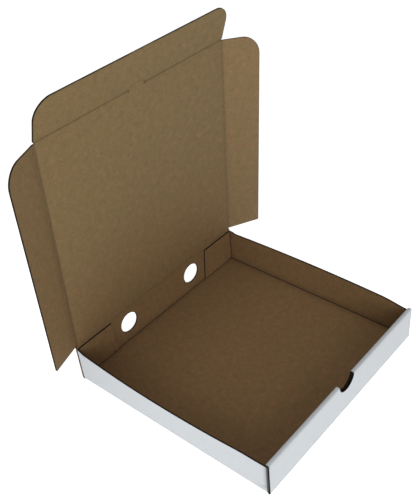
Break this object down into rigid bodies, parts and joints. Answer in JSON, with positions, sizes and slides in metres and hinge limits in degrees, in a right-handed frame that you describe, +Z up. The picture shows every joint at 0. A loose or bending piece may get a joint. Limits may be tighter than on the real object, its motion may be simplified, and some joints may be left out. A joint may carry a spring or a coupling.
{
  "type": "pizza box",
  "caption": "Open folded pizza box: square tray with rolled front wall and thumb notch, hinged lid with side flaps and a front flap",
  "frame": {"origin": "centre of the tray's underside", "axes": "+X to the right seen from the front, +Y from the front wall to the hinge wall, +Z up"},
  "size_m": [0.33, 0.254, 0.3329],
  "materials": {
    "board": "matt",
    "brown_liner": "matt",
    "cut_edge": "matt"
  },
  "bodies": {
    "tray": {"tray": "board"},
    "lid": {"lid": "board"},
    "lid_front_flap": {"lid_front_flap": "board"},
    "lid_left_flap": {"lid_left_flap": "board"},
    "lid_right_flap": {"lid_right_flap": "board"}
  },
  "joints": [
    {"name": "lid_hinge", "type": "hinge", "parent": "tray", "child": "lid", "pos_m": [0, 0.12625, 0.0454], "axis": [-1, 0, 0], "range_deg": [-87, 100]},
    {"name": "front_flap_fold", "type": "hinge", "parent": "lid", "child": "lid_front_flap", "pos_m": [0, 0.1133, 0.29256], "axis": [1, 0, 0], "range_deg": [-16, 74]},
    {"name": "left_flap_fold", "type": "hinge", "parent": "lid", "child": "lid_left_flap", "pos_m": [-0.12545, 0.12625, 0.0454], "axis": [0, -0.0523, 0.9986], "range_deg": [-17.5, 72.5]},
    {"name": "right_flap_fold", "type": "hinge", "parent": "lid", "child": "lid_right_flap", "pos_m": [0.12545, 0.12625, 0.0454], "axis": [0, 0.0523, -0.9986], "range_deg": [-28.5, 61.5]}
  ]
}
